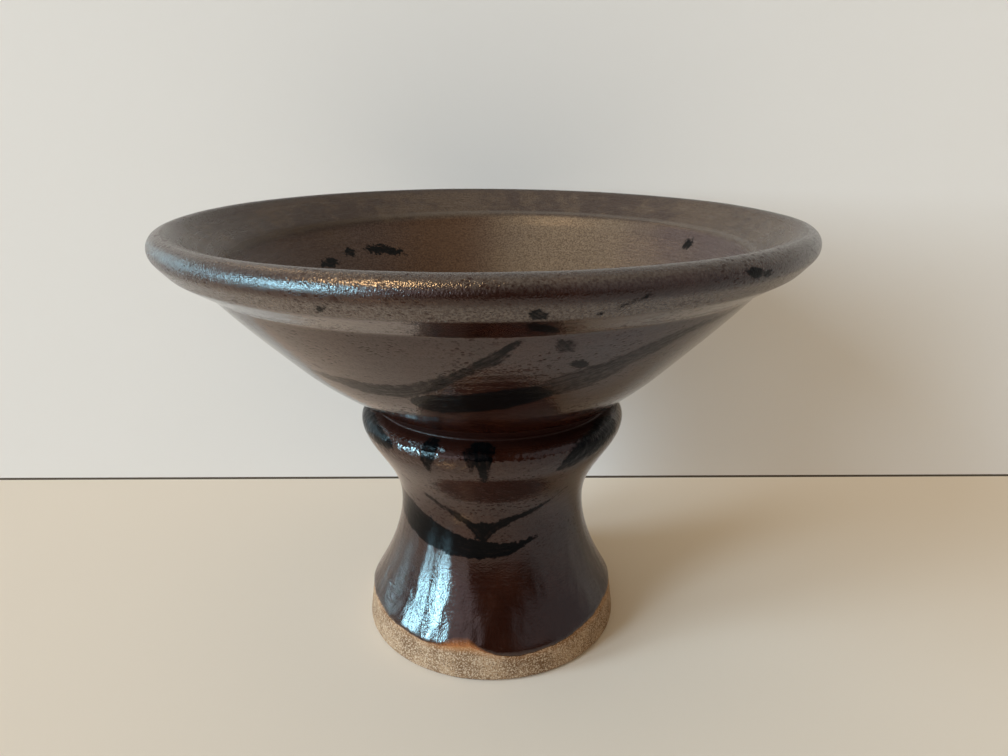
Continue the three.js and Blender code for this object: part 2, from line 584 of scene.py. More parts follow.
    def _wobbled(self, graph: Graph, given: dict[str, Value], place: Value, turn: Value) -> Value:
        """Leans, ovals and warps the whole form, more towards the rim and not at all at the foot.

        The warp fades out towards the axis, where the points of a floor meet.

        Args:
            graph: the tree's graph.
            given: the tree's inputs.
            place: a point of the true form.
            turn: its direction round the axis.

        Returns:
            The point on the form as thrown.
        """
        east, north, height = graph.parts(place)
        out = graph.math("SQRT", east * east + north * north).rise(0.0, self.warp_start * MM)
        share = (height / given["Tall"]).rise(0.0, 1.0)
        oval = 1.0 + given["Oval"] * graph.math("COSINE", turn * 2.0 + self.oval_turn) * share
        wide = graph.vector("MULTIPLY", place, graph.joined(oval, oval, 1.0))
        warp = given["Warp"] * graph.math("COSINE", turn * 2.0 + self.warp_turn) * share * share * out
        waver = self._noise(graph, given, place, self.waver_patch * MM) - 0.5
        drop = warp + waver * given["Waver"] * share
        sway = given["Lean"] * height.rise(0.0, self.lean_top * MM)
        sway = sway + given["Set off"] * height.rise(self.set_off_low * MM, self.set_off_high * MM)
        sway = sway + waver * given["Waver"] * share
        return graph.vector("ADD", wide, graph.joined(sway, 0.0, drop))


class Thrower:
    """Turns sections into finished pieces on one wheel."""

    hard_edge = 55.0

    def __init__(self, wheel: Wheel) -> None:
        """Builds the wheel's tree."""
        self.wheel = wheel
        self.tree = wheel.tree()

    def throw(
        self, name: str, section: Section, turns: int, finish: bpy.types.Material
    ) -> bpy.types.Object:
        """Makes a piece.

        Args:
            name: the piece's name.
            section: its section.
            turns: how many steps it has round the axis.
            finish: its material.

        Returns:
            The piece as a plain mesh, smooth but for its hard edges.
        """
        blank = self._blank(name, section)
        piece = bpy.data.objects.new(name, blank)
        bpy.context.scene.collection.objects.link(piece)
        modifier = piece.modifiers.new("thrown", "NODES")
        modifier.node_group = self.tree
        given = {"Turns": turns, "Material": finish, **self.wheel.inputs()}
        for socket in self.tree.interface.items_tree:
            if socket.name in given:
                modifier[socket.identifier] = given[socket.name]
        bpy.context.view_layer.update()
        graph = bpy.context.evaluated_depsgraph_get()
        mesh = bpy.data.meshes.new_from_object(piece.evaluated_get(graph), depsgraph=graph)
        mesh.name = name
        piece.modifiers.remove(modifier)
        piece.data = mesh
        bpy.data.meshes.remove(blank)
        mesh.set_sharp_from_angle(angle=math.radians(self.hard_edge))
        return piece

    @staticmethod
    def _blank(name: str, section: Section) -> bpy.types.Mesh:
        """Lays a section out as a row of points.

        Args:
            name: the piece's name.
            section: its section.

        Returns:
            A mesh of points with the section's marks as attributes.
        """
        blank = bpy.data.meshes.new(name + "_section")
        across = rights(section.points)
        flat = np.zeros((len(section.points), 3))
        flat[:, 0::2] = section.points * MM
        blank.from_pydata([tuple(map(float, p)) for p in flat], [], [])
        sides = np.zeros_like(flat)
        sides[:, 0::2] = across
        layer = blank.attributes.new("across", "FLOAT_VECTOR", "POINT")
        layer.data.foreach_set("vector", sides.ravel())
        marks = {"rings": section.rings, "grit": section.grit, "run": runs(section.points) * MM}
        for mark, numbers in marks.items():
            layer = blank.attributes.new(mark, "FLOAT", "POINT")
            layer.data.foreach_set("value", np.asarray(numbers, np.float32))
        return blank


def vertices(piece: bpy.types.Object) -> Array:
    """Reads where a piece's vertices are, in millimetres."""
    flat = np.empty(len(piece.data.vertices) * 3, np.float32)
    piece.data.vertices.foreach_get("co", flat)
    return flat.reshape(-1, 3).astype(float) / MM


def bearings(places: Array) -> Array:
    """Finds the direction of points about the axis, in degrees from the front towards +X."""
    return np.degrees(np.arctan2(places[:, 0], -places[:, 1]))


def mark(piece: bpy.types.Object, name: str, numbers: Array) -> None:
    """Gives a piece's vertices an attribute.

    Args:
        piece: the piece.
        name: the attribute's name.
        numbers: one number or one vector for each vertex.
    """
    vector = numbers.ndim == 2
    layer = piece.data.attributes.new(name, "FLOAT_VECTOR" if vector else "FLOAT", "POINT")
    layer.data.foreach_set("vector" if vector else "value", numbers.astype(np.float32).ravel())


# Brushwork

STROKE_STEPS = 60
PRESS_POWER = 0.6
LIFT_POWER = 0.75
FAR = -6.0
BRISTLE_STEP = 9.0
BATCH = 4000


class Taper(Enum):
    """How a brush is put down and lifted, as the share of the stroke that each takes."""

    DAB = (0.45, 0.45)
    SWEEP = (0.22, 0.7)
    LENS = (0.25, 0.5)
    BLUNT = (0.16, 0.24)
    RUN = (0.05, 0.45)
    FLICK = (0.06, 0.94)


@dataclass(frozen=True)
class Stroke:
    """One sweep of iron pigment: the bearing and height of points it passes, its width and its load."""

    path: tuple[tuple[float, float], ...]
    width: float
    taper: Taper = Taper.SWEEP
    load: float = 1.0

    def line(self, outline: Array) -> tuple[Array, Array, Array]:
        """Lays the stroke on a surface.

        Args:
            outline: the surface's outline.

        Returns:
            The points of its middle line, the directions along it and its half-widths there.
        """
        knots = np.array(self.path, float)
        share = np.linspace(0.0, 1.0, STROKE_STEPS + 1)
        spots = np.linspace(0.0, 1.0, len(knots))
        bearing, height = (self._eased(share, spots, knots[:, axis]) for axis in (0, 1))
        order = np.argsort(outline[:, 1])
        radius = np.interp(height, outline[order, 1], outline[order, 0])
        turn = np.radians(bearing)
        points = np.stack([radius * np.sin(turn), -radius * np.cos(turn), height], -1)
        along = unit(np.gradient(points, axis=0))
        press, lift = self.taper.value
        down = np.clip(share / press, 0.0, 1.0) ** PRESS_POWER
        away = np.clip((1.0 - share) / lift, 0.0, 1.0) ** LIFT_POWER
        return points, along, 0.5 * self.width * down * away

    @staticmethod
    def _eased(share: Array, spots: Array, numbers: Array) -> Array:
        """Runs a smooth curve through numbers.

        Args:
            share: where it is read, from 0 to 1.
            spots: where the numbers stand.
            numbers: what it passes through.

        Returns:
            The curve's values.
        """
        slopes = np.gradient(numbers, spots)
        index = np.clip(np.searchsorted(spots, share, "right") - 1, 0, len(spots) - 2)
        span = spots[index + 1] - spots[index]
        t = (share - spots[index]) / span
        start, end = numbers[index], numbers[index + 1]
        leave, reach = slopes[index] * span, slopes[index + 1] * span
        cubic = (2 * t**3 - 3 * t**2 + 1) * start + (t**3 - 2 * t**2 + t) * leave
        return cubic + (3 * t**2 - 2 * t**3) * end + (t**3 - t**2) * reach


def paint(piece: bpy.types.Object, outline: Array, strokes: tuple[Stroke, ...]) -> None:
    """Marks a piece with how deep in a stroke each vertex lies, where along the bristles and its load.

    Args:
        piece: the glaze to paint.
        outline: the outline of its surface.
        strokes: the sweeps on it.
    """
    places = vertices(piece)
    depth = np.full(len(places), FAR)
    bristle = np.zeros((len(places), 3))
    load = np.ones(len(places))
    for number, stroke in enumerate(strokes):
        points, along, half = stroke.line(outline)
        aside = unit(np.cross(along, unit(points * (1.0, 1.0, 0.0))))
        reach = half.max() - FAR
        low, high = points.min(0) - reach, points.max(0) + reach
        near = np.flatnonzero(np.all((places > low) & (places < high), axis=1))
        travel = runs(points)
        for batch in np.array_split(near, max(1, len(near) // BATCH)):
            apart = places[batch, None, :] - points[None]
            inside = half[None] - np.linalg.norm(apart, axis=2)
            best = inside.argmax(1)
            rows = np.arange(len(batch))
            deeper = inside[rows, best] > depth[batch]
            chosen, best, rows = batch[deeper], best[deeper], rows[deeper]
            depth[chosen] = inside[rows, best]
            load[chosen] = stroke.load
            lane = np.sum(apart[rows, best] * aside[best], axis=1)
            layer = np.full(len(best), BRISTLE_STEP * number)
            bristle[chosen] = np.stack([lane, travel[best], layer], -1)
    mark(piece, "brush", depth)
    mark(piece, "load", load)
    mark(piece, "bristle", bristle * MM)


# The sweeps on the front follow the photograph's, and those behind are of the same kind.

CONE_STROKES = (
    Stroke(
        ((-46, 109.6), (-34, 107.6), (-22, 107.0), (-12, 110.8), (-5, 116.0), (0, 120.4)),
        6.6, Taper.LENS, 0.76,
    ),
    Stroke(((-4, 116.6), (0, 120.4), (3, 124.4), (6, 127.6)), 4.6, Taper.SWEEP, 0.8),
    Stroke(((-18, 102.6), (-11, 103.0), (-2, 104.2), (7, 106.4), (16, 108.6)), 11.2, Taper.BLUNT),
    Stroke(
        ((10, 108.0), (16, 110.2), (23, 113.2), (29, 118.2), (38, 123.4), (52, 127.0)),
        12.0, Taper.SWEEP, 0.62,
    ),
    Stroke(((12.5, 133.6), (15, 135.6), (18, 137.8), (20, 139.0)), 2.0, Taper.LENS, 0.8),
    Stroke(((5.0, 136.2), (6.6, 134.4)), 3.4, Taper.DAB, 0.84),
    Stroke(((4.8, 132.8), (7.0, 130.6), (10.0, 128.8)), 4.8, Taper.DAB, 0.95),
    Stroke(((10.2, 126.6), (13.6, 121.8)), 4.4, Taper.DAB, 0.74),
    Stroke(((14.6, 117.8), (18.0, 116.2)), 4.2, Taper.DAB, 0.86),
    Stroke(((-19.6, 137.2), (-20.8, 136.0), (-22.4, 134.6)), 1.6, Taper.DAB, 0.9),
    Stroke(((33, 141.6), (37, 140.8), (42, 139.6)), 3.2, Taper.DAB),
    Stroke(((88, 104.0), (104, 107.0), (122, 114.0), (140, 122.0), (150, 126.0)), 9.6, Taper.SWEEP, 0.68),
    Stroke(((126, 102.4), (142, 104.6), (160, 105.2), (174, 108.8)), 11.0, Taper.BLUNT),
    Stroke(((236, 106.0), (222, 108.4), (206, 114.0), (192, 120.6), (180, 124.6)), 9.0, Taper.SWEEP, 0.64),
    Stroke(((158, 123.0), (160, 121.6)), 4.6, Taper.DAB, 0.8),
    Stroke(((183, 136.4), (186, 134.8)), 3.2, Taper.DAB, 0.9),
    Stroke(((262, 104.0), (277, 107.0), (292, 114.0), (304, 121.4)), 8.4, Taper.SWEEP, 0.68),
)

STEM_STROKES = (
    Stroke(((-96, 79.5), (-74, 79.8), (-52, 79.0), (-42, 77.4)), 7.4, Taper.LENS),
    Stroke(((66, 81.0), (52, 79.6), (39, 77.0), (27, 72.6)), 7.6, Taper.BLUNT, 0.86),
    Stroke(((-25, 82.4), (-25.6, 77.0), (-26.4, 71.6)), 4.6, Taper.RUN, 0.86),
    Stroke(((-3.4, 81.6), (-3.0, 77.4), (-2.8, 69.6)), 8.4, Taper.FLICK, 0.9),
    Stroke(((-8.6, 80.6), (-8.0, 77.4), (-7.4, 73.0)), 4.4, Taper.FLICK, 0.8),
    Stroke(
        ((-96, 55.0), (-76, 50.2), (-54, 46.6), (-32, 43.4), (-7, 41.4), (10, 41.9), (27, 44.2)),
        11.6, Taper.SWEEP,
    ),
    Stroke(((-5.2, 46.0), (-10, 49.4), (-21, 53.4), (-39, 59.8), (-58, 67.0)), 4.2, Taper.FLICK, 0.9),
    Stroke(((-5.0, 46.0), (0, 49.0), (11, 52.2), (29, 56.2), (48, 63.0)), 4.4, Taper.FLICK, 0.9),
    Stroke(((-5.2, 49.6), (-5.2, 47.0), (-5.0, 42.6)), 5.0, Taper.FLICK, 0.95),
    Stroke(((96, 57.0), (116, 50.0), (140, 45.5), (164, 43.6), (186, 45.2)), 10.0, Taper.SWEEP),
    Stroke(((168, 46.6), (164, 49.4), (150, 54.0), (134, 61.0), (118, 68.0)), 4.2, Taper.SWEEP, 0.9),
    Stroke(((168, 46.6), (173, 49.4), (186, 52.6), (202, 58.0), (216, 64.0)), 4.2, Taper.SWEEP, 0.86),
    Stroke(((120, 79.8), (142, 79.6), (160, 76.6)), 7.0, Taper.LENS),
    Stroke(((238, 80.6), (222, 78.4), (208, 73.4)), 7.0, Taper.BLUNT, 0.92),
    Stroke(((182, 82.4), (182.6, 76.5), (183, 71.0)), 5.4, Taper.RUN, 0.88),
)

LINER_STROKES = (
    Stroke(((-109, 120.4), (-115, 120.8)), 4.0, Taper.DAB, 0.9),
    Stroke(((-118, 122.4), (-127, 122.8)), 4.2, Taper.DAB, 0.92),
    Stroke(((-130, 124.4), (-134, 124.8)), 3.4, Taper.DAB, 0.92),
    Stroke(((-137, 125.0), (-143, 123.8), (-151, 121.6)), 5.4, Taper.DAB, 0.96),
    Stroke(((111.4, 131.4), (111.0, 128.4)), 5.0, Taper.DAB, 0.95),
    Stroke(((20, 124.0), (31, 121.6), (42, 123.4)), 3.6, Taper.DAB, 0.9),
    Stroke(((-60, 112.0), (-52, 110.0), (-44, 111.2)), 3.2, Taper.DAB, 0.9),
)


# Finishes


def new_material(name: str) -> tuple[bpy.types.Material, Graph]:
    """Starts a material.

    Args:
        name: its name.

    Returns:
        The material and the graph of its emptied tree.
    """
    material = bpy.data.materials.new(name)
    material.use_nodes = True
    material.node_tree.nodes.clear()
    return material, Graph(material.node_tree)


def show(graph: Graph, surface: Value) -> None:
    """Sends a shader to the material's output."""
    graph.add("ShaderNodeOutputMaterial", None, {"Surface": surface})


class Side(Enum):
    """Which side of the dish a glaze coats."""

    OUTER = "outer"
    LINER = "liner"


@dataclass(frozen=True)
class Zones:
    """How far a point lies in each zone of the dish, from 0 to 1."""

    rim: Value
    lip: Value
    liner: Number
    flare: Value


@dataclass(frozen=True)
class Amounts:
    """How strong a mark is on the plain glaze, and what each zone of the dish adds to that."""

    plain: float
    rim: float = 0.0
    lip: float = 0.0
    liner: float = 0.0
    flare: float = 0.0

    def over(self, zones: Zones) -> Value:
        """Adds the amounts up at a point."""
        added = zones.rim * self.rim + zones.lip * self.lip + zones.flare * self.flare
        return added + zones.liner * self.liner + self.plain


@dataclass(frozen=True)
class IronGlaze:
    """A dark iron glaze: glossy on the pedestal, frosted at the rim, satin and warmer in the bowl."""

    name: str
    side: Side
    deep: Colour = (0.0170, 0.0038, 0.0018)
    brown: Colour = (0.029, 0.0080, 0.0040)
    ash: Colour = (0.150, 0.125, 0.105)
    ink: Colour = (0.0007, 0.0010, 0.0014)
    liner_dark: Colour = (0.118, 0.083, 0.073)
    liner_shade: Colour = (0.054, 0.039, 0.036)
    # The liner's warmer tone, also used for the painted light on the back of the bowl.
    liner_warm_and_lit: Colour = (0.205, 0.146, 0.098)
    liner_amber: Colour = (0.112, 0.056, 0.027)
    liner_rim: Colour = (0.120, 0.086, 0.062)
    flash: Colour = (0.36, 0.12, 0.028)
    rough: Amounts = Amounts(0.05, rim=0.08, lip=0.06, liner=0.22, flare=0.04)
    grain_relief: Amounts = Amounts(0.018, rim=0.14, lip=-0.045, liner=0.07, flare=0.026)
    coarse_relief: Amounts = Amounts(0.014, rim=0.05, lip=-0.02, flare=0.02)
    grain: float = 0.42
    coarse: float = 0.9
    ripple: float = 2.2
    streak: Colour = (26.0, 26.0, 1.1)
    drips: Colour = (6.0, 6.0, 44.0)
    liner_zone: Span = (91.4, 96.0)
    rim_zone: Span = (133.0, 134.4)
    lip_zone: Span = (136.4, 139.0)
    crest_zone: Span = (140.0, 142.6)
    flare_zone: Span = (34.0, 46.0)
    ledge: float = 80.0
    collar: float = 78.5
    collar_fade: Span = (3.0, 7.0)
    pool: float = 84.4
    pool_fade: Span = (2.0, 4.2)
    pool_reach: Span = (43.0, 46.5)
    glaze_index: float = 1.58
    liner_index: float = 1.26
    sweep_index: float = 1.19

    def dress(self) -> bpy.types.Material:
        """Builds the glaze.

        Returns:
            The material.
        """
        material, graph = new_material(self.name)
        place = graph.node("ShaderNodeTexCoord", None, None, "Object")
        x, y, z = graph.parts(place)
        height = z / MM
        radius = graph.math("SQRT", x * x + y * y) / MM
        zones = self._zones(height, radius)
        liner, flare = zones.liner, zones.flare
        brush = self._brush(graph, place, liner)
        grain = graph.noise(place, self.grain, 1.0)
        coarse = graph.noise(place, self.coarse)
        streak = graph.noise(place, self.streak, 3.0)
        pits = self._pits(graph, place) * (1.0 - liner * 0.5) * (1.0 - flare * 0.65)
        frost = zones.rim * (1.0 - zones.lip) + height.rise(*self.crest_zone) * 0.5
        colour = self._colour(graph, place, radius, liner, frost, streak)
        pool = abs(height - self.pool).fall(*self.pool_fade) * radius.fall(*self.pool_reach)
        collar = abs(height - self.collar).fall(*self.collar_fade)
        thin = graph.attribute("thin") * (0.5 + coarse)
        colour = graph.blend(thin.least(1.0), colour, self.flash)
        haze = graph.noise(place, 0.8).rise(0.5, 0.62)
        rough = self.rough.over(zones) + streak.rise(0.45, 0.7) * 0.03 + flare * haze * 0.1
        rough = rough + thin * 0.25 + pool * 0.35
        relief = (grain - 0.5) * self.grain_relief.over(zones)
        relief = relief + (coarse - 0.5) * self.coarse_relief.over(zones) - pits * 0.035
        relief = relief + (graph.noise(place, self.ripple) - 0.5) * (0.024 + collar * 0.3)
        relief = relief + (graph.noise(place, self.drips, 1.0) - 0.5) * flare * 0.45
        relief = relief + (streak - 0.5) * 0.009
        bump = graph.node("ShaderNodeBump", None, {"Distance": MM, "Height": relief})
        index = self.liner_index if self.side is Side.LINER else self.glaze_index
        inputs = {"Base Color": colour, "IOR": index, "Roughness": rough, "Normal": bump}
        glaze = graph.node("ShaderNodeBsdfPrincipled", None, inputs)
        inputs = {"Base Color": graph.blend(brush, self.deep, self.ink), "IOR": self.sweep_index}
        inputs |= {"Roughness": rough + 0.1, "Normal": bump}
        sweep = graph.node("ShaderNodeBsdfPrincipled", None, inputs)
        flecks = graph.noise(place, 0.55, 3.0).rise(0.48, 0.66) * (0.3 - liner * 0.1)
        factor = brush.most(pits).most(flecks).most(pool * 0.8)
        show(graph, graph.node("ShaderNodeMixShader", None, {0: factor, 1: glaze, 2: sweep}))
        return material

    def _zones(self, height: Value, radius: Value) -> Zones:
        """Finds which zones a point lies in.

        Args:
            height: its height in millimetres.
            radius: its distance from the axis.

        Returns:
            Its share of each zone.
        """
        liner = radius.fall(*self.liner_zone) if self.side is Side.LINER else 0.0
        rim = height.rise(*self.rim_zone) * (1.0 - liner)
        lip = height.rise(*self.lip_zone) * (1.0 - liner)
        return Zones(rim, lip, liner, height.fall(*self.flare_zone))

    @staticmethod
    def _brush(graph: Graph, place: Value, liner: Number) -> Value:
        """Finds where pigment lies, with edges as a loaded brush leaves them.

        Args:
            graph: the material's graph.
            place: the point on the dish.
            liner: how much of the bowl's liner shows, where the dabs are broken.

        Returns:
            How much pigment there is.
        """
        depth = graph.attribute("brush")
        load = graph.attribute("load")
        bristle = graph.attribute("bristle", "Vector")
        hairs = graph.noise(bristle, (0.5, 9.0, 2.0), 2.0)
        ragged = graph.noise(place, 1.6, 4.0)
        uneven = graph.noise(place, 6.0, 2.0)
        fine = graph.noise(place, 0.5, 2.0)
        edge = depth + (hairs - 0.5) * 1.3 + (ragged - 0.5) * (1.8 + liner * 3.4)
        edge = edge + (uneven - 0.5) * 2.6 + (fine - 0.5) * (1.4 + liner * 1.2)
        soft = 0.22 + (1.0 - load) * 1.5
        cover = ((ragged - 0.5) * 0.7 + (hairs - 0.5) * 0.8 + load).rise(0.06, 0.92)
        return edge.rise(0.0 - soft, soft) * cover

    @staticmethod
    def _pits(graph: Graph, place: Value) -> Value:
        """Scatters pinholes and dark specks.

        Args:
            graph: the material's graph.
            place: the point on the dish.

        Returns:
            How far into a pit each point is.
        """
        fine = graph.cells(place, (2.2, 2.2, 1.1)).fall(0.12, 0.3)
        nicks = graph.noise(place, (1.7, 1.7, 0.9), 3.0).rise(0.57, 0.67)
        broad = graph.cells(place, (6.0, 6.0, 2.6)).fall(0.03, 0.10)
        patches = graph.noise(place, 14.0, 2.0).rise(0.40, 0.60)
        return (fine * patches * 0.8).most(broad * 0.85).most(nicks * (0.16 + patches * 0.44))

    def _colour(
        self,
        graph: Graph,
        place: Value,
        radius: Value,
        liner: Number,
        frost: Value,
        streak: Value,
    ) -> Value:
        """Mixes the glaze's colour, without brushwork, with painted light on the back of the bowl's liner.

        Args:
            graph: the material's graph.
            place: the point on the dish.
            radius: its distance from the axis in millimetres.
            liner: how much of the bowl's liner shows.
            frost: how frosted the rim is.
            streak: turning marks.

        Returns:
            The colour.
        """
        mottle = graph.noise(place, 11.0, 4.0)
        cloud = graph.noise(place, 30.0, 2.0)
        body = graph.blend((mottle * 0.8 + streak * 0.2).rise(0.42, 0.72), self.deep, self.brown)
        speckle = graph.noise(place, 0.6, 2.0).rise(0.36, 0.64)
        body = graph.blend(speckle * 0.015 + frost * (0.2 + speckle * 0.45), body, self.ash)
        across, _, _ = graph.parts(place)
        # Painted light: a lighter, warmer patch on the back of the bowl's inside, where the window's light
        # and its satin highlight fall, mixed with the glaze's own cloudy warm tone.
        lit = abs(across / MM - 26.0).fall(10.0, 62.0)
        warmth_and_light = (cloud * 0.3 + mottle * 0.25 + streak * 0.05 + lit * 0.4).rise(0.3, 0.72)
        lining = graph.blend(warmth_and_light, self.liner_dark, self.liner_warm_and_lit)
        lining = graph.blend(abs(across / MM + 20.0).fall(4.0, 36.0) * 0.85, lining, self.liner_amber)
        patchy = (cloud + graph.noise(place, 5.0, 3.0)).rise(0.8, 1.15) * 0.65
        flange = graph.blend(patchy, self.liner_rim, self.liner_shade)
        lining = graph.blend(radius.rise(self.ledge - 0.6, self.ledge + 0.8), lining, flange)
        lining = graph.blend(speckle * 0.5, lining, self.deep)
        # Painted highlight: a lighter ash line along the ledge's edge.
        lining = graph.blend(abs(radius - self.ledge - 1.6).fall(0.2, 1.1) * 0.45, lining, self.ash)
        return graph.blend(liner, body, lining)


@dataclass(frozen=True)
class Stoneware:
    """Bare fired clay: tan, coarse and matt, speckled with iron and flashed orange by the glaze."""

    name: str
    tan: Colour = (0.36, 0.240, 0.145)
    pale: Colour = (0.56, 0.44, 0.320)
    shade: Colour = (0.17, 0.095, 0.048)
    iron: Colour = (0.075, 0.040, 0.020)
    flash: Colour = (0.40, 0.165, 0.050)
    matt: float = 0.88

    def dress(self) -> bpy.types.Material:
        """Builds the clay.

        Returns:
            The material.
        """
        material, graph = new_material(self.name)
        place = graph.node("ShaderNodeTexCoord", None, None, "Object")
        grog = graph.noise(place, 0.5, 3.0)
        cloud = graph.noise(place, 8.0, 3.0)
        colour = graph.blend(cloud.rise(0.35, 0.65), self.tan, self.shade)
        colour = graph.blend(grog.rise(0.46, 0.6) * 0.85, colour, self.pale)
        colour = graph.blend(graph.noise(place, 0.55, 2.0).rise(0.52, 0.64) * 0.8, colour, self.shade)
        specks = graph.cells(place, 0.9).fall(0.15, 0.32) * graph.noise(place, 2.4).rise(0.46, 0.58)
        colour = graph.blend(specks * 0.85, colour, self.iron)
        scorch = graph.attribute("flash") * (0.45 + grog * 0.9)
        colour = graph.blend(scorch.least(0.95), colour, self.flash)
        relief = (grog - 0.5) * 0.16 + (graph.noise(place, 0.4, 2.0) - 0.5) * 0.09
        bump = graph.node("ShaderNodeBump", None, {"Distance": MM, "Height": relief})
        rough = self.matt - specks * 0.2
        inputs = {"Base Color": colour, "Roughness": rough, "IOR": 1.45, "Normal": bump}
        inputs["Specular IOR Level"] = 0.25
        show(graph, graph.node("ShaderNodeBsdfPrincipled", None, inputs))
        return material


# The dish


def hand_over(piece: bpy.types.Object, node: str) -> None:
    """Puts a finished piece in the place of its solid and reports it.

    Args:
        piece: the finished piece.
        node: the solid that it stands for.
    """
    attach(piece, BODY)
    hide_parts(node)
    LOG.info("%s stands for %s: %d faces", piece.name, node, len(piece.data.polygons))


@dataclass
class Pedestal:
    """The hollow pedestal: foot ring, bare band, flare, waist, swell, collar and seat, in clay."""

    foot: float
    seat: float
    seat_width: float = 8.0
    groove: float = 37.0
    collar: float = 43.9
    collar_drop: float = 3.8
    waist: float = 31.4
    waist_height: float = 47.5
    wall: float = 6.5
    ring_width: float = 9.0
    chamfer: float = 1.0
    band: float = 10.4
    band_taper: float = 1.2
    flare_ease: Span = (0.05, 0.52)
    swell_ease: Span = (0.48, 0.24)
    hollow_ease: Span = (0.4, 0.4)
    tuck: float = 7.0
    tuck_steps: int = 12
    tuck_rough: int = 8
    wear: float = 0.35
    flash_reach: Span = (-0.5, 2.6)
    turns: int = 560
    coat_turns: int = 360

    def glaze_line(self) -> Array:
        """The point where the glaze starts on the clay."""
        return np.array([self.foot - self.band_taper, self.band])

    def outside(self) -> Array:
        """Draws the clay under the glaze, from the glaze line up to the groove."""
        waist = np.array([self.waist, self.waist_height])
        widest = np.array([self.collar, self.seat - self.collar_drop])
        flare = thrown_curve(self.glaze_line(), waist, *self.flare_ease)
        swell = thrown_curve(waist, widest, *self.swell_ease)
        middle = (self.groove, widest[1])
        shoulder = arc(middle, self.collar - self.groove, self.collar_drop, 0.0, 90.0)
        return np.concatenate([flare, swell[1:], shoulder[1:]])

    def inside(self) -> Array:
        """Draws the hollow, from the seat down to the foot ring."""
        seat = np.array([self.groove - self.seat_width, self.seat])
        waist = np.array([self.waist - self.wall, self.waist_height])
        foot = np.array([self.foot - self.ring_width, self.chamfer])
        upper = thrown_curve(waist, seat, *self.hollow_ease)
        lower = thrown_curve(foot, waist, *self.hollow_ease)
        return np.concatenate([upper[::-1], lower[::-1][1:]])

    def build(self, thrower: Thrower, coat: Coat) -> None:
        """Throws the clay and the glaze on it.

        Args:
            thrower: the wheel.
            coat: the glaze's surface.
        """
        finish = Stoneware("bare_clay").dress()
        clay = thrower.throw("pedestal_clay", self._clay(), self.turns, finish)
        self._flash(clay, coat)
        hand_over(clay, "pedestal")
        surface, _, _ = coat.parts()
        neck = np.array([[self.groove, coat.joint]])
        hidden = np.concatenate([neck, graded(self.outside(), UNSEEN)[::-1], surface[:1]])
        section = Section.of(Stretch(surface, rings=coat.rings), Stretch(hidden))
        finish = IronGlaze("pedestal_iron_glaze", Side.OUTER).dress()
        glaze = thrower.throw("pedestal_coat", section, self.coat_turns, finish)
        coat.hem(glaze)
        paint(glaze, surface, STEM_STROKES)
        hand_over(glaze, "pedestal_glaze")

    def _clay(self) -> Section:
        """Draws the clay's section: rough where it is bare, plain under the glaze."""
        inner = self.foot - self.ring_width
        line = self.glaze_line()
        bare = np.array(
            [
                (inner, self.chamfer),
                (inner + self.chamfer, 0.0),
                (self.foot - self.chamfer, 0.0),
                (self.foot, self.chamfer),
                line,
            ]
        )
        covered = at_runs(self.outside(), np.linspace(0.0, self.tuck, self.tuck_steps))[1:]
        rest = self.outside()
        rest = graded(rest[rest[:, 1] > covered[-1, 1] + 1.0], UNSEEN)
        bare = np.concatenate([bare, covered[: self.tuck_rough]])
        bare = graded(softened(bare, self.wear), BARE_CLAY)
        hollow = np.concatenate([graded(self.inside(), HOLLOW)[:-1], bare[:1]])
        return Section.of(
            Stretch(bare, grit=1.0),
            Stretch(covered[self.tuck_rough :]),
            Stretch(rest),
            Stretch(hollow, rings=6.0, grit=0.5),
        )

    def _flash(self, clay: bpy.types.Object, coat: Coat) -> None:
        """Marks the clay that the glaze scorched.

        Args:
            clay: the pedestal's clay.
            coat: the glaze's surface.
        """
        places = vertices(clay)
        radius = np.hypot(places[:, 0], places[:, 1])
        below = self.band + coat.line(bearings(places)) - places[:, 2]
        outer = radius > self.foot - 0.5 * self.ring_width
        warm = (1.0 - smooth_share(below, *self.flash_reach)) * outer
        mark(clay, "flash", warm * (0.15 + 0.8 * coat.scorch(bearings(places))))


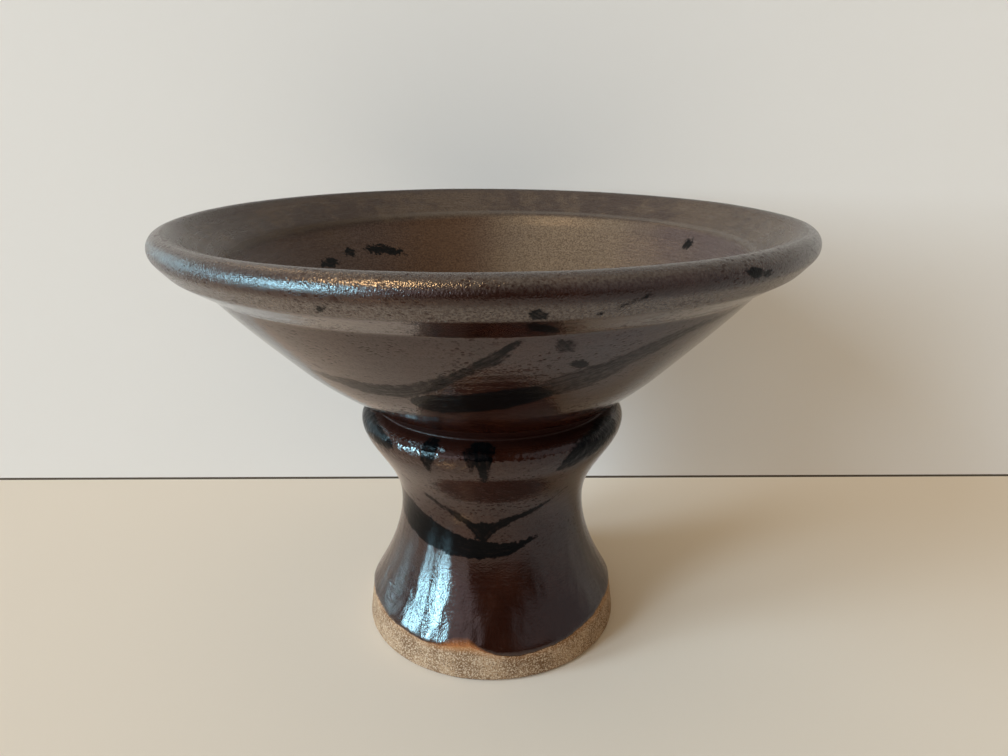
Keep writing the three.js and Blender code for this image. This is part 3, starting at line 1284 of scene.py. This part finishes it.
@dataclass
class Bowl:
    """The bowl: floor, cone, flange, rim and lip, in clay, with a liner and an outer glaze."""

    rim: float
    height: float
    base: float
    base_radius: float = 37.0
    lip: float = 8.0
    glaze: float = 0.7
    wall: float = 6.7
    floor: float = 6.5
    belly: float = 1.9
    ridge: float = 0.55
    ridge_at: float = 0.38
    ridge_spread: float = 0.13
    floor_fillet: float = 10.0
    flange_width: float = 14.2
    flange_drop: float = 15.6
    edge_width: float = 4.7
    edge_drop: float = 9.8
    ledge_width: float = 20.8
    ledge_drop: float = 12.8
    ledge_step: float = 2.4
    ledge_height: float = 3.5
    turns: int = 400
    clay_turns: int = 240

    def cone(self) -> Array:
        """Draws the long outer curve, from the groove to the shoulder under the flange."""
        base = np.array([self.base_radius, self.base])
        shoulder = np.array([self.rim - self.flange_width, self.height - self.flange_drop])
        along = unit(shoulder - base)
        outward = np.array([along[1], -along[0]])
        belly = 0.5 * (base + shoulder) + 2.0 * self.belly * outward
        curve = bezier(base, belly, shoulder, steps=36)
        away = (np.linspace(0.0, 1.0, len(curve)) - self.ridge_at) / self.ridge_spread
        return curve + self.ridge * np.exp(-0.5 * away**2)[:, None] * outward

    def lip_arc(self, start: float, end: float, steps: int) -> Array:
        """Draws a stretch of the rounded lip between two directions."""
        centre = (self.rim - 0.5 * self.lip, self.height - 0.5 * self.lip)
        radius = 0.5 * self.lip - self.glaze
        return arc(centre, radius, radius, start, end, steps)

    def outside(self) -> Array:
        """Draws the clay's outside, from the groove up to the crest of the lip."""
        edge = np.array([[self.rim - self.edge_width, self.height - self.edge_drop]])
        return np.concatenate([self.cone(), edge, self.lip_arc(-45.0, 90.0, 16)])

    def inside(self) -> Array:
        """Draws the clay's inside, from the crest of the lip to the middle of the floor."""
        wall = offset(self.cone(), -self.wall)[::-1]
        foot = np.array([self.rim - self.ledge_width, self.height - self.ledge_drop])
        ledge = foot + np.array([(self.ledge_step, self.ledge_height), (0.0, 0.0)])
        upward = unit(wall[-2] - wall[-1])
        level = self.base + self.floor
        corner = wall[-1] + upward * (level - wall[-1, 1]) / upward[1]
        top = corner + upward * self.floor_fillet
        end = corner - (self.floor_fillet, 0.0)
        fillet = bezier(top, corner, end, steps=14)
        above = wall[(wall[:, 1] > top[1] + 0.5) & (wall[:, 1] < foot[1] - 1.0)]
        lip = self.lip_arc(90.0, 120.0, 3)
        return np.concatenate([lip, ledge, above, fillet, [(0.0, level)]])

    def build(self, thrower: Thrower, coat: Coat) -> None:
        """Throws the clay, the outer glaze and the liner.

        Args:
            thrower: the wheel.
            coat: the glaze's surface.
        """
        middle = np.array([[0.0, self.base]])
        under = graded(np.concatenate([middle, self.outside()[:1]]), UNDERSIDE)[:-1]
        outside = graded(self.outside(), UNDER_GLAZE)
        inside = graded(self.inside(), UNDER_GLAZE)
        section = Section.of(Stretch(under, rings=4.0, grit=0.4), Stretch(outside), Stretch(inside[1:]))
        finish = Stoneware("bowl_bare_clay").dress()
        clay = thrower.throw("bowl_clay", section, self.clay_turns, finish)
        hand_over(clay, "bowl")
        _, surface, liner = coat.parts()
        neck = np.array([[self.base_radius, coat.joint]])
        hidden = np.concatenate([outside[::-1], neck, surface[:1]])
        section = Section.of(Stretch(surface, rings=coat.rings), Stretch(hidden))
        finish = IronGlaze("bowl_iron_glaze", Side.OUTER).dress()
        glaze = thrower.throw("bowl_coat", section, self.turns, finish)
        paint(glaze, surface, CONE_STROKES)
        hand_over(glaze, "bowl_glaze")
        section = Section.of(Stretch(inside[::-1]), Stretch(liner, rings=coat.liner_rings))
        finish = IronGlaze("liner_glaze", Side.LINER).dress()
        lining = thrower.throw("bowl_liner", section, self.turns, finish)
        paint(lining, liner, LINER_STROKES)
        hand_over(lining, "liner_glaze")


@dataclass
class SlipJoint:
    """The ring of slip that joins the bowl to the pedestal's seat, squeezed out a little inside."""

    low: float
    high: float
    inner: float = 29.0
    outer: float = 37.0
    squeeze: float = 0.7
    grit: float = 0.4
    tan: Colour = (0.40, 0.30, 0.21)
    turns: int = 240

    def build(self, thrower: Thrower) -> None:
        """Throws the ring.

        Args:
            thrower: the wheel.
        """
        middle = 0.5 * (self.low + self.high)
        half = 0.5 * (self.high - self.low)
        bead = arc((self.inner, middle), self.squeeze, half, 90.0, 270.0, 10)
        edge = np.array([(self.outer, self.low), (self.outer, middle), (self.outer, self.high)])
        outline = np.concatenate([bead, edge, bead[:1]])
        section = Section.of(Stretch(outline, grit=self.grit))
        finish = Stoneware("fired_slip", self.tan).dress()
        slip = thrower.throw("slip_ring", section, self.turns, finish)
        hand_over(slip, "joining_slip")


# Waves in the glaze's edge, each with its number round the foot, its height and its start in degrees.
EDGE_WAVES = ((5, 0.25, 40), (17, 0.14, 0), (43, 0.07, 70), (71, 0.05, 15), (109, 0.04, 50))

# Lobes of the glaze's edge, each with its bearing, its rise in millimetres and its spread in degrees.
EDGE_LOBES = (
    (-64, 1.3, 22), (-10, 1.9, 6), (11, -1.6, 15), (70, 1.4, 22), (118, -1.2, 12),
    (150, 1.6, 10), (188, -0.9, 16), (228, 1.5, 12), (262, -0.6, 12),
)

# Places where the fire flashed the clay, each with its bearing, its spread and its strength.
SCORCHES = ((-14, 8, 0.95), (52, 26, 0.3), (152, 14, 0.8), (230, 16, 0.6))


def bell(bearing: Array, middle: float, spread: float) -> Array:
    """Draws a bump one unit high about a bearing, in degrees."""
    away = (bearing - middle + 180.0) % 360.0 - 180.0
    return np.exp(-0.5 * (away / spread) ** 2)


@dataclass
class Coat:
    """The surface of the glaze, from its edge above the foot, over the lip, to the bowl's middle."""

    pedestal: Pedestal
    bowl: Bowl
    thickness: float = 0.7
    pool: float = 1.9
    roll: float = 1.0
    softness: float = 0.65
    rings: float = 0.3
    liner_rings: float = 0.5
    clay_step: float = 0.2
    groove_reach: float = 4.0
    edge_spacing: float = 0.12
    spacing: float = 0.52
    liner_share: float = 1.26
    spacing_reach: float = 5.0
    hem_zone: Span = (1.5, 12.0)

    @property
    def joint(self) -> float:
        """The height where the two outer coats meet in the groove."""
        return 0.5 * (self.pedestal.seat + self.bowl.base)

    def parts(self) -> tuple[Array, Array, Array]:
        """Draws the glaze's surface.

        Returns:
            Its stretches on the pedestal, on the bowl's outside and on the bowl's inside.
        """
        clay = self.pedestal.outside()
        clay = at_runs(clay, np.arange(0.0, runs(clay)[-1], self.clay_step))
        swell = np.clip(runs(clay) / self.roll, 0.0, 1.0)
        lower = offset(clay, self.thickness * np.sqrt(swell * (2.0 - swell)))
        deep = self.pedestal.groove + self.pool
        collar = self.pedestal.seat - self.pedestal.collar_drop
        lower = lower[(lower[:, 1] < collar) | ((lower[:, 0] > deep) & (lower[:, 1] < self.joint))]
        upper = offset(self.bowl.outside(), self.thickness)
        upper = upper[(upper[:, 0] > deep) & (upper[:, 1] > self.joint)]
        inner = offset(self.bowl.inside(), self.thickness)
        whole = np.concatenate([lower, [(deep, self.joint)], upper, inner[1:]])
        whole = softened(whole, self.softness)
        by_joint = np.abs(whole[:, 1] - self.joint) < self.groove_reach
        outer = by_joint & (whole[:, 0] > self.pedestal.waist)
        groove = int(np.argmin(np.where(outer, whole[:, 0], np.inf)))
        crest = int(np.argmax(whole[:, 1]))
        cuts = (whole[: groove + 1], whole[groove : crest + 1], whole[crest:])
        gaps = (self.spacing, self.spacing, self.spacing * self.liner_share)
        spacings = (Spacing(self.edge_spacing, gap, self.spacing_reach) for gap in gaps)
        return tuple(graded(cut, spacing) for cut, spacing in zip(cuts, spacings))

    @staticmethod
    def line(bearing: Array) -> Array:
        """Draws how far the glaze's edge stands above or below its mean height.

        Args:
            bearing: directions in degrees from the front towards +X.

        Returns:
            The rise there in millimetres.
        """
        rise = np.zeros_like(bearing)
        for waves, height, start in EDGE_WAVES:
            rise = rise + height * np.cos(np.radians(waves * bearing + start))
        for middle, height, spread in EDGE_LOBES:
            rise = rise + height * bell(bearing, middle, spread)
        return rise

    @staticmethod
    def scorch(bearing: Array) -> Array:
        """Draws how strongly the fire flashed the clay, from 0 to 1, for each direction."""
        share = 0.06 + 0.05 * np.cos(np.radians(3.0 * bearing + 60.0))
        for middle, spread, strength in SCORCHES:
            share = share + strength * bell(bearing, middle, spread)
        return np.clip(share, 0.0, 1.0)

    def hem(self, glaze: bpy.types.Object) -> None:
        """Runs the glaze's lower edge down and up over the clay, and marks where it is thin.

        Args:
            glaze: the pedestal's glaze.
        """
        places = vertices(glaze)
        bearing = bearings(places)
        above = places[:, 2] - self.pedestal.band
        slack = 1.0 - smooth_share(above, *self.hem_zone)
        clay = np.concatenate([[(self.pedestal.foot, self.pedestal.chamfer)], self.pedestal.outside()])
        clay = clay[clay[:, 1] < self.pedestal.waist_height]
        moved = places[:, 2] + self.line(bearing) * slack
        before, after = (np.interp(level, clay[:, 1], clay[:, 0]) for level in (places[:, 2], moved))
        radius = np.hypot(places[:, 0], places[:, 1])
        places[:, :2] *= ((radius + after - before) / radius)[:, None]
        places[:, 2] = moved
        glaze.data.vertices.foreach_set("co", (places * MM).astype(np.float32).ravel())
        glaze.data.update()
        thin = 1.0 - smooth_share(above, 0.1, 0.4 + 3.0 * self.scorch(bearing) ** 2)
        mark(glaze, "thin", thin * (0.1 + 0.85 * self.scorch(bearing)))


# The studio


@dataclass(frozen=True)
class Glow:
    """A bright sheet in the room, facing the dish, which shows in the gloss alone."""

    name: str
    size: Span
    bearing: float
    height: float
    colour: Colour
    strength: float


@dataclass(frozen=True)
class Screen:
    """A dark sheet that stands across the table before the dish and shows in the gloss alone."""

    name: str
    left: float
    right: float
    at: float
    top: float


SKY = (0.42, 0.76, 0.92)

# Each pane of the window: the bearing of its light, and how it shows in the gloss.
PANES = (
    (-75.0, Glow("glow_0", (1.08, 3.42), -75.0, 1.71, SKY, 46.0)),
    (-53.0, Glow("glow_1", (1.08, 3.42), -55.0, 1.71, SKY, 68.0)),
)
LAMP = Glow("lamp", (2.8, 1.6), -46.0, 10.4, (1.0, 0.62, 0.30), 105.0)
CURTAIN = Glow("curtain", (5.0, 4.0), -33.0, 2.0, (1.0, 0.84, 0.88), 1.1)
SCREENS = (
    Screen("shade_low", -0.17, 0.42, -0.36, 0.085),
    Screen("shade_tall", -0.08, 0.17, -0.38, 0.16),
    Screen("shade_high", -0.05, 0.19, -0.50, 1.3),
)


@dataclass(frozen=True)
class Studio:
    """A pale table and wall, a window with what else the gloss mirrors, and the photograph's camera."""

    eye: tuple[float, float, float] = (0.0, -0.2455, 0.1731)
    pitch: float = 18.9
    yaw: float = -1.08
    lens: float = 27.02
    reach: float = 3.0
    table_drop: float = 0.00004
    wall_at: float = 0.103
    wall_turn: float = 0.6
    gap_shadow_height: float = 0.0012
    gap_shadow_ahead: float = 0.0004
    table: Colour = (0.875, 0.80, 0.71)
    # The table as the gloss shows it: lighter and warmer on the left, darker on the right, painted light
    # and shade.
    mirrored: tuple[Colour, Colour] = ((0.93, 0.79, 0.685), (0.66, 0.665, 0.69))
    wall: Colour = (0.765, 0.74, 0.72)
    # A dark strip along the wall's foot: painted shadow of the gap under the wall.
    gap_shadow: Colour = (0.10, 0.085, 0.07)
    dark: Colour = (0.02, 0.017, 0.015)
    fill_left: Colour = (0.72, 0.61, 0.46)
    fill_right: Colour = (0.35, 0.275, 0.18)
    room: Colour = (0.36, 0.34, 0.35)
    ceiling: Colour = (1.0, 0.86, 0.66)
    window: Colour = (0.65, 0.81, 0.93)
    pane_power: float = 590.0
    pane_distance: float = 9.0
    pane_height: float = 3.24
    pane_size: Span = (2.25, 6.3)
    pane_aim: float = 0.08

    def build(self) -> None:
        """Sets the stage, the light and the camera."""
        scene = bpy.context.scene
        scene.view_settings.view_transform = "Standard"
        self._camera(scene)
        self._world(scene)
        self._window(scene)
        half = self.reach
        corners = [(-half, -half), (half, -half), (half, half), (-half, half)]
        table = self._sheet("table", [(*corner, -self.table_drop) for corner in corners])
        table.data.materials.append(self._paint("table_paint", self.table, self.mirrored, False))
        self._wall("wall", self.wall, half, 0.0)
        # A thin dark strip at the wall's foot: painted shadow of the gap between wall and table.
        self._wall("gap_shadow", self.gap_shadow, self.gap_shadow_height, self.gap_shadow_ahead)
        for screen in SCREENS:
            left, right = (screen.left, screen.at), (screen.right, screen.at)
            corners = [(*left, 0.0), (*left, screen.top), (*right, screen.top), (*right, 0.0)]
            self._for_gloss(self._sheet(screen.name, corners), self.dark, 1.0)

    def _camera(self, scene: bpy.types.Scene) -> None:
        """Places the camera.

        Args:
            scene: the scene.
        """
        data = bpy.data.cameras.new("camera")
        data.lens = self.lens
        data.sensor_width = 36.0
        data.clip_start = 0.01
        camera = bpy.data.objects.new("camera", data)
        camera.location = self.eye
        camera.rotation_euler = (math.radians(90.0 - self.pitch), 0.0, math.radians(self.yaw))
        scene.collection.objects.link(camera)
        scene.camera = camera

    def _world(self, scene: bpy.types.Scene) -> None:
        """Fills the room with soft warm light.

        Args:
            scene: the scene.
        """
        world = bpy.data.worlds.new("room")
        world.use_nodes = True
        world.node_tree.nodes.clear()
        graph = Graph(world.node_tree)
        across, _, up = graph.parts(graph.node("ShaderNodeTexCoord", None, None, "Generated"))
        tint = graph.blend(across.rise(-0.8, 0.8), self.fill_left, self.fill_right)
        mirrored = graph.node("ShaderNodeLightPath", None, None, "Is Glossy Ray")
        tint = graph.blend(mirrored, tint, graph.blend(up.rise(0.6, 0.95), self.room, self.ceiling))
        light = graph.node("ShaderNodeBackground", None, {"Color": tint, "Strength": 1.0})
        graph.add("ShaderNodeOutputWorld", None, {"Surface": light})
        scene.world = world

    def _window(self, scene: bpy.types.Scene) -> None:
        """Hangs the window's panes to the left of the camera, then the lamp and the curtain.

        Args:
            scene: the scene.
        """
        for number, (bearing, glow) in enumerate(PANES):
            data = bpy.data.lights.new(f"pane_{number}", "AREA")
            data.shape = "RECTANGLE"
            data.size, data.size_y = self.pane_size
            data.energy = self.pane_power
            data.color = self.window
            pane = bpy.data.objects.new(f"pane_{number}", data)
            pane.visible_glossy = False
            scene.collection.objects.link(pane)
            self._hang(pane, bearing, self.pane_height)
            self._glow(glow)
        self._glow(LAMP)
        self._glow(CURTAIN)

    def _glow(self, glow: Glow) -> None:
        """Hangs a glow.

        Args:
            glow: what it is.
        """
        wide, tall = (0.5 * size for size in glow.size)
        corners = [(-wide, -tall, 0.0), (wide, -tall, 0.0), (wide, tall, 0.0), (-wide, tall, 0.0)]
        sheet = self._sheet(glow.name, corners)
        self._for_gloss(sheet, glow.colour, glow.strength)
        self._hang(sheet, glow.bearing, glow.height)

    def _wall(self, name: str, colour: Colour, top: float, ahead: float) -> None:
        """Stands a sheet behind the dish, clear from behind and without a shadow.

        Args:
            name: its name.
            colour: its paint.
            top: how high it reaches.
            ahead: how far it stands before the wall.
        """
        slant = self.reach * math.tan(math.radians(self.wall_turn))
        left = (-self.reach, self.wall_at + slant - ahead)
        right = (self.reach, self.wall_at - slant - ahead)
        sheet = self._sheet(name, [(*left, 0.0), (*right, 0.0), (*right, top), (*left, top)])
        sheet.data.materials.append(self._paint(name + "_paint", colour, (colour, colour), True))
        for flag in ("visible_diffuse", "visible_transmission", "visible_shadow"):
            setattr(sheet, flag, False)

    def _hang(self, pane: bpy.types.Object, bearing: float, height: float) -> None:
        """Hangs a pane in the window, facing the dish.

        Args:
            pane: the lamp or the sheet.
            bearing: its direction from the dish, in degrees from the front.
            height: how high its middle is.
        """
        turn = math.radians(bearing)
        out = self.pane_distance
        pane.location = (out * math.sin(turn), -out * math.cos(turn), height)
        pane.rotation_euler = (math.atan2(out, height - self.pane_aim), 0.0, turn)

    @staticmethod
    def _sheet(name: str, corners: list[tuple[float, float, float]]) -> bpy.types.Object:
        """Makes a flat sheet of the stage.

        Args:
            name: its name.
            corners: its corners in order.

        Returns:
            The sheet.
        """
        mesh = bpy.data.meshes.new(name)
        mesh.from_pydata(corners, [], [(0, 1, 2, 3)])
        sheet = bpy.data.objects.new(name, mesh)
        bpy.context.scene.collection.objects.link(sheet)
        return sheet

    @staticmethod
    def _paint(
        name: str, colour: Colour, mirrored: tuple[Colour, Colour], one_sided: bool
    ) -> bpy.types.Material:
        """Mixes the stage's paint.

        Args:
            name: the material's name.
            colour: the paint's colour.
            mirrored: its colours on the left and the right, as the dish's gloss shows them, where a
                difference between them is painted light and shade.
            one_sided: whether it is clear from behind.

        Returns:
            The material.
        """
        material, graph = new_material(name)
        place = graph.node("ShaderNodeTexCoord", None, None, "Object")
        cloud = graph.noise(place, 160.0, 3.0)
        across, _, _ = graph.parts(place)
        # In the gloss the paint changes from left to right: painted light and shade.
        shown = graph.blend(across.rise(-0.02, 0.12), *mirrored)
        gloss = graph.node("ShaderNodeLightPath", None, None, "Is Glossy Ray")
        tint = graph.blend(gloss, colour, shown)
        tint = graph.blend(cloud.rise(0.3, 0.7) * 0.05, tint, tuple(0.8 * c for c in colour))
        plain = graph.node("ShaderNodeBsdfDiffuse", None, {"Color": tint})
        inputs = {"Base Color": tint, "Roughness": 0.2, "Specular IOR Level": 0.35}
        gleam = graph.node("ShaderNodeBsdfPrincipled", None, inputs)
        surface = graph.node("ShaderNodeMixShader", None, {0: gloss, 1: plain, 2: gleam})
        if one_sided:
            behind = graph.node("ShaderNodeNewGeometry", None, None, "Backfacing")
            clear = graph.node("ShaderNodeBsdfTransparent")
            surface = graph.node("ShaderNodeMixShader", None, {0: behind, 1: surface, 2: clear})
        show(graph, surface)
        return material

    @staticmethod
    def _for_gloss(sheet: bpy.types.Object, colour: Colour, strength: float) -> None:
        """Lights a sheet that shows in the gloss alone.

        Args:
            sheet: the sheet.
            colour: its colour.
            strength: how brightly it shines.
        """
        material, graph = new_material(sheet.name)
        show(graph, graph.node("ShaderNodeEmission", None, {"Color": colour, "Strength": strength}))
        sheet.data.materials.append(material)
        for flag in ("visible_camera", "visible_diffuse", "visible_transmission", "visible_shadow"):
            setattr(sheet, flag, False)


def radius_of(node: str) -> float:
    """Reads a solid's greatest radius from the frame, in millimetres."""
    return float(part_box(node)[1][0]) / MM


def main() -> None:
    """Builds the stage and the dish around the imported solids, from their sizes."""
    logging.basicConfig(level=logging.INFO, format="%(message)s")
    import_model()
    Studio().build()
    pedestal = Pedestal(foot=radius_of("pedestal"), seat=float(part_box("pedestal")[1][2]) / MM)
    top = float(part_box("bowl_glaze")[1][2]) / MM
    bowl = Bowl(rim=radius_of("bowl_glaze"), height=top, base=float(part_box("bowl")[0][2]) / MM)
    coat = Coat(pedestal, bowl)
    thrower = Thrower(Wheel())
    pedestal.build(thrower, coat)
    SlipJoint(low=pedestal.seat, high=bowl.base).build(thrower)
    bowl.build(thrower, coat)


if __name__ == "__main__":
    main()
